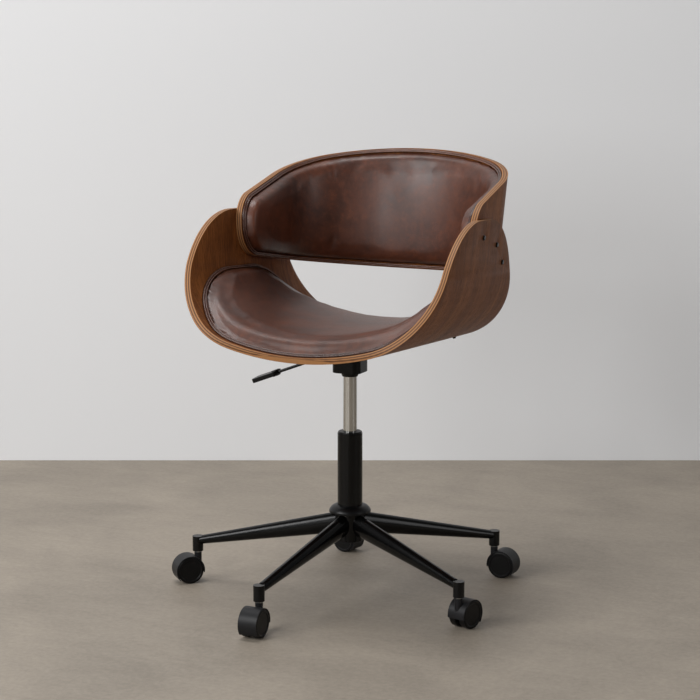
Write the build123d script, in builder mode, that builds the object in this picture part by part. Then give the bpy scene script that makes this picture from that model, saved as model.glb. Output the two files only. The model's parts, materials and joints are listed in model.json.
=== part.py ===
from build123d import *
import math
import os

os.makedirs("parts", exist_ok=True)

# Swivel desk chair: a bent plywood seat with arms, a bent plywood back, leather pads, a gas lift and a
# five legged base on twin wheel casters. Millimetres and degrees, +Z up, the sitter faces -Y, and the
# origin is on the floor under the column.

# Seat shell, in its own frame: origin under the seat on the column axis, tilted back with the seat
shell_height = 495.0
shell_tilt = 3.7
ply_thickness = 12.0
seat_base_width = 505.6
seat_bottom_radius = 548.0
seat_corner_radius = 168.0
arm_lean = 3.9
arm_toe_in = 2.7
seat_front_reach = 240.0
seat_rear_reach = 295.0
seat_nose_bulge = 12.0
seat_nose_height = 34.0
seat_nose_radius = 90.0
seat_tail_tuck = 12.0
seat_tail_radius = 80.0
arm_height = 272.0
arm_front_lean = 27.3
arm_rear_lean = 28.6
arm_front_radius = 200.0
arm_rear_radius = 170.0

# Seat pad and its welt
pad_clearance = 0.2
seat_pad_thickness = 42.0
seat_pad_front_thickness = 33.0
seat_pad_crown_y = 130.0
seat_pad_side_thickness = 15.0
seat_pad_edge_radius = 17.0
seat_pad_corner_radius = 190.0
seat_pad_front_inset = 8.5
seat_pad_rear_inset = 22.0
seat_pad_climb = 152.0
seat_pad_front_slope = 43.0
seat_pad_rear_slope = 50.6
seat_pad_end_radius = 180.0
welt_width = 6.0
welt_height = 7.0
welt_radius = 2.4

# Back shell, in the seat shell's frame
back_rear_reach = 321.0
back_recline = 3.7
back_rear_radius = 344.0
back_corner_radius = 168.0
back_bottom_height = 145.0
back_rear_height = 254.0
back_top_slope = 17.5
back_bottom_slope = 6.2
back_front_reach = 5.0
back_end_radius = 62.0
back_end_share = 0.6
back_lift_y = 30.0
back_lift = 3.5
back_rim_steps = 32
back_rim_reach = 70.0
back_arm_gap = 0.3

# Back pad
back_pad_thickness = 27.0
back_pad_edge_thickness = 19.0
back_pad_edge_radius = 11.0
back_pad_inset = 8.0

# Fasteners
screw_radius = 3.0
screw_clearance = 0.3
thread_clearance = 0.05
screw_head_radius = 5.5
screw_head_height = 3.0
screw_head_taper = 25.0
insert_radius = 4.5
insert_length = 9.0
arm_screw_grip = 8.5
arm_screw_rear_y = 152.0
arm_screw_rear_z = 183.0
arm_screw_middle_y = 105.0
arm_screw_middle_z = 220.0
arm_screw_front_y = 16.0
arm_screw_front_z = 238.0
seat_bolt_x = 50.0
seat_bolt_y = 62.0
seat_bolt_head_height = 4.0
tee_flange_radius = 9.0
tee_flange_thickness = 1.6
tee_sink = 1.3
tee_wall = 1.0
spacer_radius = 8.0
pad_screw_angle = 20.0
pad_screw_y = 185.0
pad_screw_radius = 2.0
pad_screw_bite = 6.0
pad_screw_gap = 1.0
pad_screw_head_radius = 4.0
pad_screw_head_height = 3.0

# Mechanism under the seat
plate_width = 130.0
plate_length = 160.0
plate_thickness = 2.5
plate_corner = 14.0
plate_gap = 0.5
housing_width = 60.0
housing_corner = 16.0
housing_wall = 2.5
housing_drop = 40.5
socket_radius = 19.0
socket_lip_radius = 15.8
socket_lip_drop = 9.0
socket_top_drop = 22.5
lever_drop = 12.2
lever_radius = 3.0
lever_pivot_x = 22.0
lever_pivot_radius = 2.5
lever_boss_radius = 5.5
lever_boss_width = 11.0
lever_tail = 6.0
lever_bend_x = 50.0
lever_bend_radius = 24.0
lever_droop = 21.0
lever_paddle_start = 158.5
paddle_length = 57.0
paddle_width = 36.0
paddle_roll = 4.0
paddle_pockets = 2
paddle_height = 9.0
paddle_pocket_depth = 4.5
paddle_wall = 3.0
paddle_grip = 18.0
paddle_corner = 7.0
paddle_boss_length = 13.0
paddle_boss_width = 15.0
paddle_boss_height = 12.0
lever_slot_clearance = 2.5

# Gas lift
cylinder_radius = 14.0
cylinder_wall = 2.0
cylinder_taper = 1.2
cylinder_insertion = 74.0
cylinder_crown = 34.0
valve_radius = 3.0
valve_length = 22.0
valve_dome_radius = 4.0
valve_gap = 0.3
gland_height = 14.0
piston_height = 8.0
piston_gap = 2.0
rod_radius = 5.0
rod_shoulder_radius = 8.0
rod_shoulder_height = 5.0
running_clearance = 0.05
fit_clearance = 0.03

# Column and base
column_radius = 25.0
column_wall = 2.0
column_top = 329.5
bush_flange_height = 4.0
bush_flange_radius = 24.0
bush_depth = 78.0
hub_radius = 30.0
hub_bottom = 113.5
hub_height = 55.0
column_tail = 4.0
collar_height = 15.0
collar_foot_radius = 42.0
collar_top_radius = 27.0
collar_lip = 3.5
collar_bulge = 2.4
foot_height = 6.0
race_radius = 13.0
race_thickness = 3.0
ball_radius = 2.0
ball_circle_radius = 9.5
ball_count = 8
clip_radius = 8.5
clip_thickness = 2.0
leg_count = 5
base_turn = -79.9
leg_reach = 323.0
leg_root_sink = 3.0
leg_root_width = 30.0
leg_root_height = 44.0
leg_root_drop = 24.5
leg_tip_width = 20.0
leg_tip_height = 17.6
leg_tip_sink = 0.3
leg_socket_radius = 11.0
leg_socket_height = 31.0
leg_socket_bottom = 64.5
leg_socket_roof = 3.0

# Casters
sleeve_radius = 7.5
stem_radius = 5.5
stem_pin_radius = 4.0
stem_collar_radius = 6.5
stem_collar_height = 2.2
stem_pin_length = 17.0
caster_trail = 21.0
wheel_radius = 27.5
wheel_width = 14.8
wheel_edge_radius = 2.5
wheel_dish_depth = 1.2
wheel_rim = 5.0
hood_gap = 0.6
hood_wall = 1.8
hood_web = 8.0
hood_front_angle = -40.0
hood_rear_angle = 190.0
hood_eye_radius = 8.0
neck_radius = 7.5
neck_gap = 1.0
axle_radius = 3.0
axle_cover = 3.5
wheel_side_gap = 0.5
caster_turns = (-44.9, -0.6, 163.8, 88.0, 78.0)

# Worked out from the sizes above
tilt_sin = math.sin(math.radians(shell_tilt))
tilt_cos = math.cos(math.radians(shell_tilt))
lean_slope = math.tan(math.radians(arm_lean))
lean_stretch = math.sqrt(1 + lean_slope**2)
toe_slope = math.tan(math.radians(arm_toe_in))
toe_stretch = math.sqrt(1 + toe_slope**2)
recline_slope = math.tan(math.radians(back_recline))
seat_half_width = seat_base_width / 2
far = 2 * seat_base_width
loft_margin = 1.5
shell_y = Vector(0, tilt_cos, -tilt_sin)
shell_z = Vector(0, tilt_sin, tilt_cos)
shell_origin = Vector(0, 0, shell_height)
side_plane = Plane(origin=shell_origin, x_dir=shell_y, z_dir=(1, 0, 0))
sides = (1, -1)


def save(piece, name):
    """Name a finished piece and write it out."""
    piece.label = name
    export_step(piece, f"parts/{name}.step")


def shell_point(x, y, z):
    """A point of the tilted shell frame as a point of the chair."""
    return shell_origin + Vector(x, 0, 0) + shell_y * y + shell_z * z


def across(y):
    """The plane across the seat at a depth y of the shell frame."""
    return Plane(origin=shell_point(0, y, 0), x_dir=(1, 0, 0), z_dir=-shell_y)


def level(z):
    """The plane along the seat at a height z of the shell frame."""
    return Plane(origin=shell_point(0, 0, z), x_dir=(1, 0, 0), z_dir=shell_z)


def side_outline(corners, grow=0):
    """A closed outline in the shell's side view, from corners given as depth, height and rounding."""
    with BuildSketch(side_plane) as outline:
        with BuildLine():
            Polyline([(y, z) for y, z, radius in corners], close=True)
        make_face()
        for y, z, radius in corners:
            if radius:
                fillet(outline.vertices().sort_by_distance((y, z))[0], radius)
        if grow:
            offset(amount=grow, mode=Mode.REPLACE)
    return outline.sketch


# The seat's U
def toe_scale(y):
    """The U's size at a depth y against its size at the column axis."""
    return 1 - y * toe_slope / seat_half_width


def meet_side(half, radius, centre):
    """Where a leaning side line meets a circle that is centred on the chair's middle."""
    reach = centre - half * lean_slope
    root = math.sqrt(reach**2 - lean_stretch**2 * (half**2 + centre**2 - radius**2))
    z = (reach - root) / lean_stretch**2
    return half + lean_slope * z, z


def u_section(y, bottom_inset, side_inset, corner_radius=seat_corner_radius):
    """The space inside the U at a depth y, drawn in from the outside of the plywood."""
    half = seat_half_width * toe_scale(y) - side_inset * lean_stretch
    radius = seat_bottom_radius * toe_scale(y) - bottom_inset
    corner = corner_radius * toe_scale(y) - bottom_inset
    low_x, low_z = meet_side(half, radius, bottom_inset + radius)
    top_z = 2 * arm_height
    top_x = half + lean_slope * top_z
    with BuildSketch(across(y)) as section:
        with BuildLine():
            ThreePointArc((-low_x, low_z), (0, bottom_inset), (low_x, low_z))
            Polyline((low_x, low_z), (top_x, top_z), (-top_x, top_z), (-low_x, low_z))
        make_face()
        fillet(section.vertices().sort_by(Axis.Y)[:2], corner)
    return section.sketch


u_front = -loft_margin * seat_front_reach
u_rear = loft_margin * seat_rear_reach


def u_space(inset):
    """Front and rear sections of the U at one even inset."""
    return [u_section(u_front, inset, inset), u_section(u_rear, inset, inset)]


def bottom_height(x, y, inset):
    """Height of the U's bottom arc over the shell frame, at a place near its middle."""
    radius = seat_bottom_radius * toe_scale(y) - inset
    return inset + radius - math.sqrt(radius**2 - x**2)


def corner_plane(y, angle, side):
    """The plane on the outside of the U's rounded corner, facing out, at an angle up from its bottom."""
    scale = toe_scale(y)
    bottom = seat_bottom_radius * scale
    corner = seat_corner_radius * scale
    half = seat_half_width * scale - corner * lean_stretch
    turn_sin = math.sin(math.radians(angle))
    turn_cos = math.cos(math.radians(angle))
    x, z = meet_side(half, bottom - corner, bottom)
    x += corner * turn_sin
    z -= corner * turn_cos
    toe = (x * turn_sin - z * turn_cos) * toe_slope / (seat_half_width * scale)
    normal = Vector(side * turn_sin, 0, 0) + shell_y * toe - shell_z * turn_cos
    return Plane(origin=shell_point(side * x, y, z), x_dir=(0, 0, 1), z_dir=normal)


def arm_plane(y, z, side):
    """The plane on the flat outside of an arm, facing out."""
    x = seat_half_width * toe_scale(y) + lean_slope * z
    normal = Vector(side, 0, 0) + shell_y * toe_slope - shell_z * lean_slope
    return Plane(origin=shell_point(side * x, y, z), x_dir=shell_y, z_dir=normal)


arm_screw_places = (
    (arm_screw_front_y, arm_screw_front_z),
    (arm_screw_middle_y, arm_screw_middle_z),
    (arm_screw_rear_y, arm_screw_rear_z),
)
arm_screw_planes = [arm_plane(y, z, side) for side in sides for y, z in arm_screw_places]
pad_screw_planes = [corner_plane(pad_screw_y, pad_screw_angle, side) for side in sides]
seat_bolt_places = [(x * seat_bolt_x, y * seat_bolt_y) for x in sides for y in sides]
plate_bottom = -plate_gap - plate_thickness
tee_radius = screw_radius + thread_clearance + tee_wall


def tee_height(x, y):
    """Underside of a tee nut's flange, sunk in the seat shell's upper face."""
    return bottom_height(x, y, ply_thickness) - tee_sink - tee_flange_thickness


# Seat shell
front_y = -seat_front_reach
nose_y = front_y - seat_nose_bulge
rear_y = seat_rear_reach
tail_y = rear_y - seat_tail_tuck
below = 3 * ply_thickness
arm_rise = arm_height - seat_nose_height
arm_front_y = nose_y + arm_rise * math.tan(math.radians(arm_front_lean))
arm_back_y = tail_y - arm_rise * math.tan(math.radians(arm_rear_lean))
arm_outline = side_outline(
    (
        (front_y, -below, 0),
        (nose_y, seat_nose_height, seat_nose_radius),
        (arm_front_y, arm_height, arm_front_radius),
        (arm_back_y, arm_height, arm_rear_radius),
        (tail_y, seat_nose_height, seat_tail_radius),
        (rear_y, -below, 0),
    )
)

with BuildPart() as seat_shell:
    loft(sections=u_space(0))
    loft(sections=u_space(ply_thickness), mode=Mode.SUBTRACT)
    extrude(arm_outline, amount=far, both=True, mode=Mode.INTERSECT)
    for plane in arm_screw_planes:
        with BuildSketch(plane):
            Circle(screw_radius + screw_clearance)
        extrude(amount=below, both=True, mode=Mode.SUBTRACT)
    for plane in pad_screw_planes:
        with BuildSketch(plane):
            Circle(pad_screw_radius + thread_clearance)
        extrude(amount=below, both=True, mode=Mode.SUBTRACT)
    for x, y in seat_bolt_places:
        with BuildSketch(level(0)):
            with Locations((x, y)):
                Circle(tee_radius + fit_clearance)
        extrude(amount=below, both=True, mode=Mode.SUBTRACT)
        with BuildSketch(level(tee_height(x, y))):
            with Locations((x, y)):
                Circle(tee_flange_radius + screw_clearance)
        extrude(amount=below, mode=Mode.SUBTRACT)
save(seat_shell.part, "seat_shell")

# Seat pad with its crown, and the welt round it
pad_base = ply_thickness + pad_clearance
pad_nose_y = nose_y + seat_pad_front_inset
pad_nose_z = seat_nose_height - seat_pad_front_inset
pad_rear_y = rear_y - seat_pad_rear_inset
pad_rear_z = pad_base
pad_front_run = (seat_pad_climb - pad_nose_z) * math.tan(math.radians(seat_pad_front_slope))
pad_rear_run = (seat_pad_climb - pad_rear_z) * math.tan(math.radians(seat_pad_rear_slope))
seat_pad_corners = (
    (front_y + seat_pad_front_inset, -below, 0),
    (pad_nose_y, pad_nose_z, seat_nose_radius - seat_pad_front_inset),
    (pad_nose_y + pad_front_run, seat_pad_climb, seat_pad_end_radius),
    (pad_rear_y - pad_rear_run, seat_pad_climb, seat_pad_end_radius),
    (pad_rear_y, pad_rear_z, seat_pad_edge_radius),
    (pad_rear_y, -below, 0),
)


def seat_pad_depth(y):
    """Thickness of the seat pad over its middle line, which swells towards its crown."""
    fall = seat_pad_thickness - seat_pad_front_thickness
    return seat_pad_thickness - fall * ((y - seat_pad_crown_y) / (seat_pad_crown_y + seat_front_reach)) ** 2


def seat_pad_top(y):
    """Section of the space over the seat pad."""
    side_inset = pad_base + seat_pad_side_thickness
    return u_section(y, pad_base + seat_pad_depth(y), side_inset, seat_pad_corner_radius)


with BuildPart() as seat_pad:
    extrude(side_outline(seat_pad_corners), amount=far, both=True)
    loft(sections=[seat_pad_top(y) for y in (u_front, seat_pad_crown_y, u_rear)], mode=Mode.SUBTRACT)
    fillet(seat_pad.edges(Select.NEW), seat_pad_edge_radius)
    loft(sections=u_space(pad_base), mode=Mode.INTERSECT)
    for plane in pad_screw_planes:
        with BuildSketch(plane):
            Circle(pad_screw_radius + thread_clearance)
        extrude(amount=-pad_base - pad_screw_bite - pad_screw_gap, mode=Mode.SUBTRACT)
save(seat_pad.part, "seat_pad")

with BuildPart() as seat_welt:
    extrude(side_outline(seat_pad_corners, pad_clearance + welt_width), amount=far, both=True)
    loft(sections=u_space(pad_base + welt_height), mode=Mode.SUBTRACT)
    fillet(seat_welt.edges(Select.NEW), welt_radius)
    extrude(side_outline(seat_pad_corners, pad_clearance), amount=far, both=True, mode=Mode.SUBTRACT)
    loft(sections=u_space(pad_base), mode=Mode.INTERSECT)
save(seat_welt.part, "seat_welt")

# Back shell between the arms
# Its side outline cuts the ends and the lower edge. Behind back_lift_y the outline's upper line rises over
# the upper edge, which is cut there by a floor that is square to the plywood.
back_top = back_bottom_height + back_rear_height
back_low = back_bottom_height - 2 * below
back_high = back_top + 2 * below
back_cut_y = -back_front_reach - below
back_top_rear = back_rear_reach + back_rear_height * recline_slope
top_slope = math.tan(math.radians(back_top_slope))
lifted_slope = math.tan(math.radians(back_top_slope + back_lift))
bottom_slope = math.tan(math.radians(back_bottom_slope))
back_lift_z = back_top - (back_top_rear - back_lift_y) * top_slope
back_end_bottom = back_bottom_height + (back_rear_reach + back_front_reach) * bottom_slope
back_end_top = back_lift_z - (back_lift_y + back_front_reach) * lifted_slope
back_end_rounding = min(back_end_radius, back_end_share * (back_end_top - back_end_bottom))
back_tail = back_rear_reach / 2
back_tail_y = back_top_rear + back_tail
back_corners = (
    (-back_front_reach, back_end_bottom, back_end_rounding),
    (-back_front_reach, back_end_top, back_end_rounding),
    (back_tail_y, back_lift_z + (back_tail_y - back_lift_y) * lifted_slope, 0),
    (back_tail_y, back_bottom_height - (back_tail_y - back_rear_reach) * bottom_slope, 0),
)


def back_section(z, inset):
    """The space inside the back's C at a height z, drawn in from the outside of the plywood."""
    side = seat_half_width + lean_slope * z - ply_thickness * lean_stretch
    side -= back_arm_gap + inset * toe_stretch
    radius = back_rear_radius - inset
    rear = back_rear_reach + (z - back_bottom_height) * recline_slope
    centre = rear - back_rear_radius
    reach = side * toe_slope + centre
    root = math.sqrt(reach**2 - toe_stretch**2 * (side**2 + centre**2 - radius**2))
    corner_y = (reach + root) / toe_stretch**2
    corner_x = side - toe_slope * corner_y
    cut_x = side - toe_slope * back_cut_y
    with BuildSketch(level(z)) as section:
        with BuildLine():
            ThreePointArc((-corner_x, corner_y), (0, rear - inset), (corner_x, corner_y))
            Polyline((corner_x, corner_y), (cut_x, back_cut_y), (-cut_x, back_cut_y), (-corner_x, corner_y))
        make_face()
        fillet(section.vertices().sort_by(Axis.Y)[-2:], back_corner_radius - inset)
    return section.sketch


def back_space(inset):
    """Low and high sections of the C at one even inset."""
    return [back_section(back_low, inset), back_section(back_high, inset)]


def over_back(drop):
    """The space over the back's upper edge, lowered by a drop, with a floor square to the plywood."""
    origin = shell_point(0, back_top_rear, back_top - drop)
    rim_plane = Plane(origin=origin, x_dir=(1, 0, 0), z_dir=shell_z - shell_y * top_slope)
    with BuildPart() as block:
        loft(sections=back_space(0))
        split(bisect_by=rim_plane, keep=Keep.BOTTOM)
    rim_face = block.faces().sort_by(Axis(origin, rim_plane.z_dir))[-1]
    rim = Wire(rim_face.edges().sort_by(Axis.Y)[1:])
    places = [rim @ (step / back_rim_steps) for step in range(back_rim_steps + 1)]
    along = (rim % 0) - shell_z * (rim % 0).dot(shell_z)
    with BuildPart() as space:
        with BuildLine() as edge:
            Spline(places)
        with BuildLine() as guide:
            Spline([place + shell_z * far for place in places])
        with BuildSketch(Plane(origin=rim @ 0, x_dir=shell_z.cross(along), z_dir=along)):
            with Locations((0, far / 2)):
                Rectangle(2 * back_rim_reach, far)
        sweep(path=edge.edge(), binormal=guide.edge())
    return space.part


def back_slab(inset):
    """The space inside the back's outline, drawn in along the plywood."""
    with BuildPart() as slab:
        extrude(side_outline(back_corners, -inset), amount=far, both=True)
        add(over_back(inset / math.cos(math.radians(back_top_slope))), mode=Mode.SUBTRACT)
    return slab.part


insert_start = ply_thickness + back_arm_gap + screw_clearance

with BuildPart() as back_shell:
    loft(sections=back_space(0))
    loft(sections=back_space(ply_thickness), mode=Mode.SUBTRACT)
    add(back_slab(0), mode=Mode.INTERSECT)
    for plane in arm_screw_planes:
        with BuildSketch(plane):
            Circle(insert_radius + fit_clearance)
        extrude(amount=-insert_start - insert_length, mode=Mode.SUBTRACT)
save(back_shell.part, "back_shell")

# Back pad with its crown, and the welt round it
back_middle = back_bottom_height + back_rear_height / 2


def back_pad_depth(z):
    """Thickness of the back pad, which swells towards the middle of its height."""
    fall = back_pad_thickness - back_pad_edge_thickness
    return back_pad_thickness - fall * (2 * (z - back_middle) / back_rear_height) ** 2


with BuildPart() as back_pad:
    add(back_slab(back_pad_inset))
    loft(
        sections=[back_section(z, pad_base + back_pad_depth(z)) for z in (back_low, back_middle, back_high)],
        mode=Mode.SUBTRACT,
    )
    fillet(back_pad.edges(Select.NEW), back_pad_edge_radius)
    loft(sections=back_space(pad_base), mode=Mode.INTERSECT)
save(back_pad.part, "back_pad")

with BuildPart() as back_welt:
    add(back_slab(back_pad_inset - pad_clearance - welt_width))
    loft(sections=back_space(pad_base + welt_height), mode=Mode.SUBTRACT)
    add(back_slab(back_pad_inset - pad_clearance), mode=Mode.SUBTRACT)
    loft(sections=back_space(pad_base), mode=Mode.INTERSECT)
save(back_welt.part, "back_welt")

# Screws through the arms and their inserts in the back shell
with BuildPart() as arm_screws:
    for plane in arm_screw_planes:
        with BuildSketch(plane):
            Circle(screw_head_radius)
        extrude(amount=screw_head_height, taper=screw_head_taper)
        with BuildSketch(plane):
            Circle(screw_radius)
        extrude(amount=-insert_start - arm_screw_grip)
save(arm_screws.part, "arm_screws")

with BuildPart() as arm_inserts:
    for plane in arm_screw_planes:
        with BuildSketch(plane.offset(-insert_start)):
            Circle(insert_radius)
            Circle(screw_radius + thread_clearance, mode=Mode.SUBTRACT)
        extrude(amount=-insert_length)
save(arm_inserts.part, "arm_inserts")

# Screws that hold the seat pad from below
with BuildPart() as pad_screws:
    for plane in pad_screw_planes:
        with BuildSketch(plane):
            Circle(pad_screw_head_radius)
        extrude(amount=pad_screw_head_height, taper=screw_head_taper)
        with BuildSketch(plane):
            Circle(pad_screw_radius)
        extrude(amount=-pad_base - pad_screw_bite)
save(pad_screws.part, "pad_screws")

# Plate, spacers, bolts and tee nuts that join the mechanism to the seat shell
with BuildPart() as mechanism_plate:
    with BuildSketch(level(plate_bottom)):
        RectangleRounded(plate_width, plate_length, plate_corner)
        with Locations(*seat_bolt_places):
            Circle(screw_radius + screw_clearance, mode=Mode.SUBTRACT)
    extrude(amount=plate_thickness)
save(mechanism_plate.part, "mechanism_plate")

with BuildPart() as plate_spacers:
    with BuildSketch(level(-plate_gap)):
        with Locations(*seat_bolt_places):
            Circle(spacer_radius)
            Circle(screw_radius + screw_clearance, mode=Mode.SUBTRACT)
    extrude(amount=below)
    loft(sections=u_space(0), mode=Mode.SUBTRACT)
save(plate_spacers.part, "plate_spacers")

with BuildPart() as seat_bolts:
    for x, y in seat_bolt_places:
        with BuildSketch(level(plate_bottom)):
            with Locations((x, y)):
                RegularPolygon(screw_head_radius, 6)
        extrude(amount=-seat_bolt_head_height)
        with BuildSketch(level(plate_bottom)):
            with Locations((x, y)):
                Circle(screw_radius)
        extrude(amount=tee_height(x, y) - plate_bottom)
save(seat_bolts.part, "seat_bolts")

with BuildPart() as seat_tee_nuts:
    for x, y in seat_bolt_places:
        barrel_low = bottom_height(x, y, 0) + tee_sink
        with BuildSketch(level(barrel_low)):
            with Locations((x, y)):
                Circle(tee_radius)
                Circle(screw_radius + thread_clearance, mode=Mode.SUBTRACT)
        extrude(amount=tee_height(x, y) - barrel_low)
        with BuildSketch(level(tee_height(x, y))):
            with Locations((x, y)):
                Circle(tee_flange_radius)
        extrude(amount=tee_flange_thickness)
save(seat_tee_nuts.part, "seat_tee_nuts")

# Mechanism housing, taper socket and lever
housing_bottom = shell_height - housing_drop
socket_top = shell_height - socket_top_drop
socket_bottom = housing_bottom - socket_lip_drop
cylinder_top = socket_top + fit_clearance
lever_z = shell_height - lever_drop
slot_half = lever_radius + lever_slot_clearance

with BuildPart() as mechanism_housing:
    with BuildSketch(Plane.XY.offset(housing_bottom)):
        RectangleRounded(housing_width, housing_width, housing_corner)
    extrude(amount=2 * housing_drop)
    with BuildSketch(Plane.XY.offset(housing_bottom + housing_wall)):
        inside = housing_width - 2 * housing_wall
        RectangleRounded(inside, inside, housing_corner - housing_wall)
    extrude(amount=2 * housing_drop, mode=Mode.SUBTRACT)
    with BuildSketch(Plane.XY.offset(housing_bottom)):
        Circle(socket_radius + fit_clearance)
    extrude(amount=housing_wall, mode=Mode.SUBTRACT)
    with BuildSketch(Plane.YZ.offset(-housing_width)):
        with Locations((0, lever_z)):
            Rectangle(2 * slot_half, 2 * slot_half)
    extrude(amount=housing_width, mode=Mode.SUBTRACT)
    with BuildSketch(Plane.XZ):
        with Locations((-lever_pivot_x, lever_z)):
            Circle(lever_pivot_radius + fit_clearance)
    extrude(amount=housing_width, both=True, mode=Mode.SUBTRACT)
    split(bisect_by=level(plate_bottom), keep=Keep.BOTTOM)
save(mechanism_housing.part, "mechanism_housing")


def cylinder_taper_radius(z):
    """Radius of the gas cylinder's tapered head."""
    return cylinder_radius - cylinder_taper * (z - socket_bottom) / (cylinder_top - socket_bottom)


with BuildPart() as taper_socket:
    with BuildSketch(Plane.XZ):
        with BuildLine():
            Polyline(
                (cylinder_taper_radius(socket_bottom) + fit_clearance, socket_bottom),
                (socket_lip_radius, socket_bottom),
                (socket_radius, housing_bottom),
                (socket_radius, socket_top),
                (cylinder_taper_radius(socket_top) + fit_clearance, socket_top),
                close=True,
            )
        make_face()
    revolve(axis=Axis.Z)
save(taper_socket.part, "taper_socket")

droop_cos = math.cos(math.radians(lever_droop))
droop_sin = math.sin(math.radians(lever_droop))
droop = Vector(-droop_cos, 0, -droop_sin)
lever_bend = Vector(-lever_bend_x, 0, lever_z)
paddle_origin = lever_bend + droop * ((lever_paddle_start - lever_bend_x) / droop_cos)
paddle_up = Vector(-droop_sin, 0, droop_cos).rotate(Axis((0, 0, 0), droop), -paddle_roll)
paddle_plane = Plane(origin=paddle_origin, x_dir=droop, z_dir=paddle_up)
paddle_entry = Plane(origin=paddle_origin, x_dir=(0, 1, 0), z_dir=droop)

with BuildPart() as lever_rod:
    with BuildLine():
        rod_end = paddle_origin + droop * paddle_grip
        rod_start = Vector(lever_tail, 0, lever_z)
        FilletPolyline(rod_start, lever_bend, rod_end, radius=lever_bend_radius)
    with BuildSketch(Plane(origin=rod_start, x_dir=(0, 1, 0), z_dir=(-1, 0, 0))):
        Circle(lever_radius)
    sweep()
    with BuildSketch(Plane.XZ):
        with Locations((-lever_pivot_x, lever_z)):
            Circle(lever_boss_radius)
    extrude(amount=lever_boss_width / 2, both=True)
    with BuildSketch(Plane.XZ):
        with Locations((-lever_pivot_x, lever_z)):
            Circle(lever_pivot_radius + running_clearance)
    extrude(amount=lever_boss_width, both=True, mode=Mode.SUBTRACT)
save(lever_rod.part, "lever_rod")

with BuildPart() as lever_paddle:
    with BuildSketch(paddle_plane.offset(-paddle_height / 2)):
        with Locations((paddle_length / 2, 0)):
            RectangleRounded(paddle_length, paddle_width, paddle_corner)
    extrude(amount=paddle_height)
    fillet(lever_paddle.faces().sort_by(Axis.Z)[-1].edges(), paddle_wall / 2)
    with BuildSketch(paddle_plane.offset(-paddle_height / 2)):
        pocket_pitch = (paddle_length - paddle_grip) / paddle_pockets
        pocket_length = pocket_pitch - 2 * paddle_wall
        for index in range(paddle_pockets):
            with Locations((paddle_grip + pocket_pitch * index + pocket_pitch / 2, 0)):
                RectangleRounded(pocket_length, paddle_width - 2 * paddle_wall, paddle_wall)
    extrude(amount=paddle_pocket_depth, mode=Mode.SUBTRACT)
    with BuildSketch(paddle_plane.offset(-paddle_boss_height / 2)):
        with Locations((paddle_boss_length / 2, 0)):
            RectangleRounded(paddle_boss_length, paddle_boss_width, paddle_wall)
    extrude(amount=paddle_boss_height)
    with BuildSketch(paddle_entry):
        Circle(lever_radius + fit_clearance)
    extrude(amount=paddle_grip + fit_clearance, mode=Mode.SUBTRACT)
save(lever_paddle.part, "lever_paddle")

with BuildPart() as lever_pivot_pin:
    with BuildSketch(Plane.XZ):
        with Locations((-lever_pivot_x, lever_z)):
            Circle(lever_pivot_radius)
    extrude(amount=housing_width / 2 + housing_wall, both=True)
save(lever_pivot_pin.part, "lever_pivot_pin")


# Gas lift, drawn as half sections in the XZ plane and turned about the column axis
def turned(points):
    """A solid of revolution about the column axis, from the corners of its half section."""
    with BuildPart() as solid:
        with BuildSketch(Plane.XZ):
            with BuildLine():
                Polyline(points, close=True)
            make_face()
        revolve(axis=Axis.Z)
    return solid.part


def ring(inner, outer, bottom, top):
    """A plain ring about the column axis."""
    return turned(((inner, bottom), (outer, bottom), (outer, top), (inner, top)))


cylinder_bottom = column_top - cylinder_insertion
cylinder_bore = cylinder_radius - cylinder_wall
chamber_top = cylinder_top - cylinder_crown
gland_top = cylinder_bottom + gland_height
piston_bottom = gland_top + piston_gap
piston_top = piston_bottom + piston_height
valve_top = lever_z - lever_radius - valve_gap
valve_bottom = valve_top - valve_length
valve_well = valve_bottom - 2 * valve_radius

gas_cylinder = turned(
    (
        (cylinder_bore, cylinder_bottom),
        (cylinder_radius, cylinder_bottom),
        (cylinder_radius, socket_bottom),
        (cylinder_taper_radius(cylinder_top), cylinder_top),
        (valve_radius, cylinder_top),
        (valve_radius, valve_well),
        (0, valve_well),
        (0, chamber_top),
        (cylinder_bore, chamber_top),
    )
)
save(gas_cylinder, "gas_cylinder")
gland_bore = rod_radius + running_clearance
cylinder_gland = ring(gland_bore, cylinder_bore - fit_clearance, cylinder_bottom, gland_top)
save(cylinder_gland, "cylinder_gland")
piston = ring(rod_radius + fit_clearance, cylinder_bore - running_clearance, piston_bottom, piston_top)
save(piston, "piston")

with BuildPart() as valve_pin:
    pin_radius = valve_radius - running_clearance
    dome_drop = valve_dome_radius - math.sqrt(valve_dome_radius**2 - pin_radius**2)
    dome_turn = math.asin(pin_radius / valve_dome_radius) / 2
    dome_mid = (
        valve_dome_radius * math.sin(dome_turn),
        valve_top - valve_dome_radius * (1 - math.cos(dome_turn)),
    )
    with BuildSketch(Plane.XZ):
        with BuildLine():
            pin_low = (pin_radius, valve_bottom)
            pin_high = (pin_radius, valve_top - dome_drop)
            Polyline((0, valve_top), (0, valve_bottom), pin_low, pin_high)
            ThreePointArc((pin_radius, valve_top - dome_drop), dome_mid, (0, valve_top))
        make_face()
    revolve(axis=Axis.Z)
save(valve_pin.part, "valve_pin")

# Column, its foot and the thrust bearing under the lift rod
column_bottom = hub_bottom - column_tail
column_bore = column_radius - column_wall
clip_bottom = column_bottom + fit_clearance
clip_top = clip_bottom + clip_thickness
foot_bottom = clip_top + running_clearance
foot_top = foot_bottom + foot_height
ball_middle = foot_top + race_thickness + ball_radius + running_clearance
upper_race_bottom = ball_middle + ball_radius + running_clearance
shoulder_bottom = upper_race_bottom + race_thickness
rod_bore = rod_radius + running_clearance

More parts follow.
